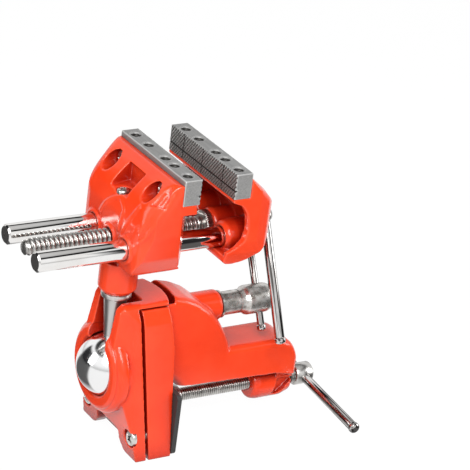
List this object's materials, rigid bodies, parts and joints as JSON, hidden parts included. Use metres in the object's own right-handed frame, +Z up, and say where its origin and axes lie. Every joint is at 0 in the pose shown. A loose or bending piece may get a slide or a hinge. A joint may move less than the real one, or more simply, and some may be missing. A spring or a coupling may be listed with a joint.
{
  "type": "ball vise",
  "caption": "Clamp-on bench vise whose jaw head tilts and swivels on a ball, with sliding-bar handles, guide rods and knurled jaw plates.",
  "frame": {"origin": "centre of the screw axis on the base's rubber pad face", "axes": "+X out of the pad towards the clamp screw's handle, +Y along the jaws, +Z up"},
  "size_m": [0.2113, 0.102, 0.182],
  "materials": {
    "red_paint": "glossy orange-red enamel on cast metal",
    "polished_chrome": "polished chrome plating",
    "nickel_plate": "matte nickel-plated steel, knurled on its gripping face",
    "black_rubber": "matte black rubber",
    "bright_screws": "bright zinc-plated steel",
    "satin_steel": "plated steel with rolled threads"
  },
  "bodies": {
    "clamp_base": {"clamp_body": "red_paint", "ball_cover": "red_paint", "rubber_pad": "black_rubber", "cover_screw_front": "bright_screws", "cover_screw_back": "bright_screws", "lock_washer": "bright_screws"},
    "ball_neck": {"ball_stud": "polished_chrome"},
    "fixed_head": {"fixed_jaw": "red_paint", "jaw_screw": "bright_screws", "fixed_jaw_plate": "nickel_plate", "fixed_plate_screw_front": "bright_screws", "fixed_plate_screw_back": "bright_screws"},
    "moving_head": {"movable_jaw": "red_paint", "movable_jaw_plate": "nickel_plate", "movable_plate_screw_front": "bright_screws", "movable_plate_screw_back": "bright_screws", "guide_rod_front": "polished_chrome", "guide_rod_back": "polished_chrome", "thrust_collar": "polished_chrome"},
    "lead_spindle": {"lead_screw": "satin_steel"},
    "lead_handle": {"lead_bar": "polished_chrome", "lead_bar_cap_top": "polished_chrome", "lead_bar_cap_bottom": "polished_chrome"},
    "clamp_foot": {"pressure_foot": "satin_steel"},
    "clamp_spindle": {"clamp_screw": "satin_steel"},
    "clamp_handle": {"clamp_bar": "polished_chrome", "clamp_bar_cap_front": "polished_chrome", "clamp_bar_cap_back": "polished_chrome"},
    "lock_spindle": {"lock_screw": "polished_chrome"},
    "lock_handle": {"lock_bar": "polished_chrome", "lock_bar_cap_top": "polished_chrome", "lock_bar_cap_bottom": "polished_chrome"}
  },
  "joints": [
    {"name": "ball_tilt", "type": "hinge", "parent": "clamp_base", "child": "ball_neck", "pos_m": [-0.033, 0, 0.0295], "axis": [0, 1, 0], "range_deg": [-90, 0]},
    {"name": "head_swivel", "type": "hinge", "parent": "ball_neck", "child": "fixed_head", "pos_m": [-0.033, 0, 0.0895], "axis": [0, 0, 1], "range_deg": [-330, 0]},
    {"name": "jaw_slide", "type": "slide", "parent": "fixed_head", "child": "moving_head", "axis": [1, 0, 0], "range_m": [-0.0223, 0.0465]},
    {"name": "lead_spin", "type": "hinge", "parent": "moving_head", "child": "lead_spindle", "pos_m": [0.0628, 0, 0.114], "axis": [1, 0, 0], "range_deg": [-270, 10]},
    {"name": "lead_bar_slide", "type": "slide", "parent": "lead_spindle", "child": "lead_handle", "axis": [0, 0.454, 0.891], "range_m": [0, 0.0595]},
    {"name": "foot_slide", "type": "slide", "parent": "clamp_base", "child": "clamp_foot", "axis": [1, 0, 0], "range_m": [-0.0028, 0.045]},
    {"name": "clamp_spin", "type": "hinge", "parent": "clamp_foot", "child": "clamp_spindle", "pos_m": [0.1063, 0, 0], "axis": [1, 0, 0], "range_deg": [-673, 10801]},
    {"name": "clamp_bar_slide", "type": "slide", "parent": "clamp_spindle", "child": "clamp_handle", "axis": [0, -0.9963, -0.0854], "range_m": [-0.0505, 0]},
    {"name": "lock_turn", "type": "hinge", "parent": "clamp_base", "child": "lock_spindle", "pos_m": [0.066, 0, 0.0582], "axis": [1, 0, 0], "range_deg": [-30, 25]},
    {"name": "lock_bar_slide", "type": "slide", "parent": "lock_spindle", "child": "lock_handle", "axis": [0, 0.4848, 0.8746], "range_m": [-0.005, 0.001]}
  ],
  "couplings": [
    {"joint": "clamp_spin", "follows": "foot_slide", "rad_per_m": 4188.8}
  ]
}
